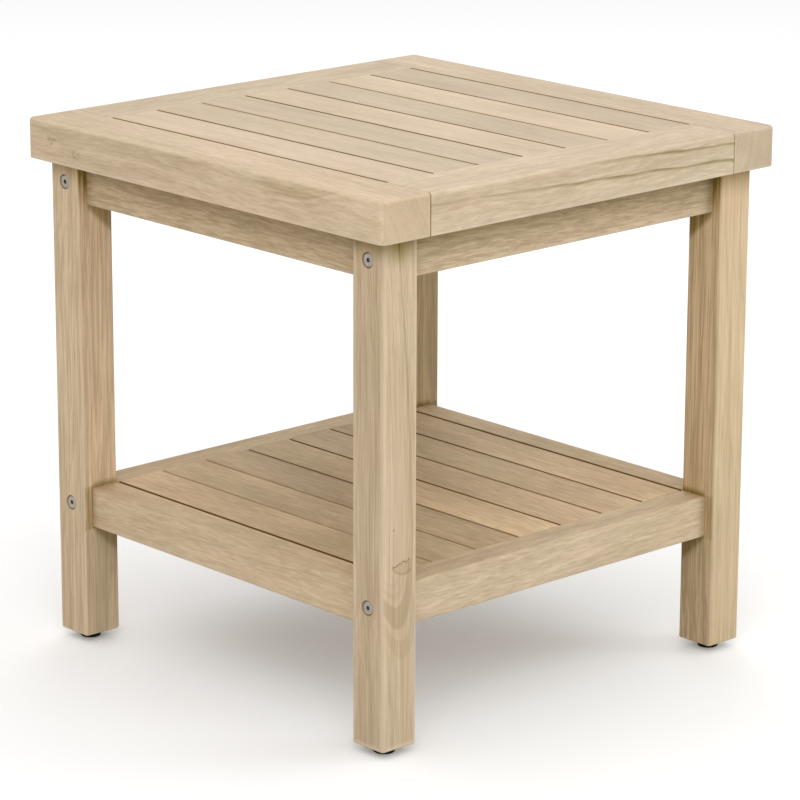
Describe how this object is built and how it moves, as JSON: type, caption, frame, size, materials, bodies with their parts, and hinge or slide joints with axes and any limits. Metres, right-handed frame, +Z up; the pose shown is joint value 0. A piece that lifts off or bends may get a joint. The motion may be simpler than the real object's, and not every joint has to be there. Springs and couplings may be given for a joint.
{
  "type": "end table",
  "caption": "Square wooden end table with a framed slatted top, square legs set in from its edge and a slatted lower shelf between bolted side rails.",
  "frame": {"origin": "on the floor under the middle of the table, at the lower faces of the glides", "axes": "+Z up, X along the slats, Y across them; the front, with the bolt heads, is -Y"},
  "size_m": [0.5, 0.5, 0.518],
  "materials": {
    "wood": "pale bleached hardwood, sanded, matt",
    "dowel_wood": "fluted beech dowel, raw",
    "steel": "satin stainless steel",
    "black_plastic": "moulded, matt"
  },
  "bodies": {
    "root": {"back_apron": "wood", "barrel_nuts_lower": "steel", "barrel_nuts_upper": "steel", "dowels_lower": "dowel_wood", "dowels_upper": "dowel_wood", "foot_back_left": "black_plastic", "foot_back_right": "black_plastic", "foot_front_left": "black_plastic", "foot_front_right": "black_plastic", "foot_screws": "steel", "front_apron": "wood", "left_apron": "wood", "leg_back_left": "wood", "leg_back_right": "wood", "leg_bolts_lower": "steel", "leg_bolts_upper": "steel", "leg_front_left": "wood", "leg_front_right": "wood", "right_apron": "wood", "shelf_back_rail": "wood", "shelf_front_rail": "wood", "shelf_left_rail": "wood", "shelf_right_rail": "wood", "shelf_slat_1": "wood", "shelf_slat_2": "wood", "shelf_slat_3": "wood", "shelf_slat_4": "wood", "shelf_slat_5": "wood", "shelf_slat_6": "wood", "shelf_slat_7": "wood", "top_back_board": "wood", "top_bolts": "steel", "top_front_board": "wood", "top_inserts": "steel", "top_left_end_rail": "wood", "top_right_end_rail": "wood", "top_slat_1": "wood", "top_slat_2": "wood", "top_slat_3": "wood", "top_slat_4": "wood", "top_slat_5": "wood", "top_slat_6": "wood", "top_slat_7": "wood"}
  },
  "joints": []
}
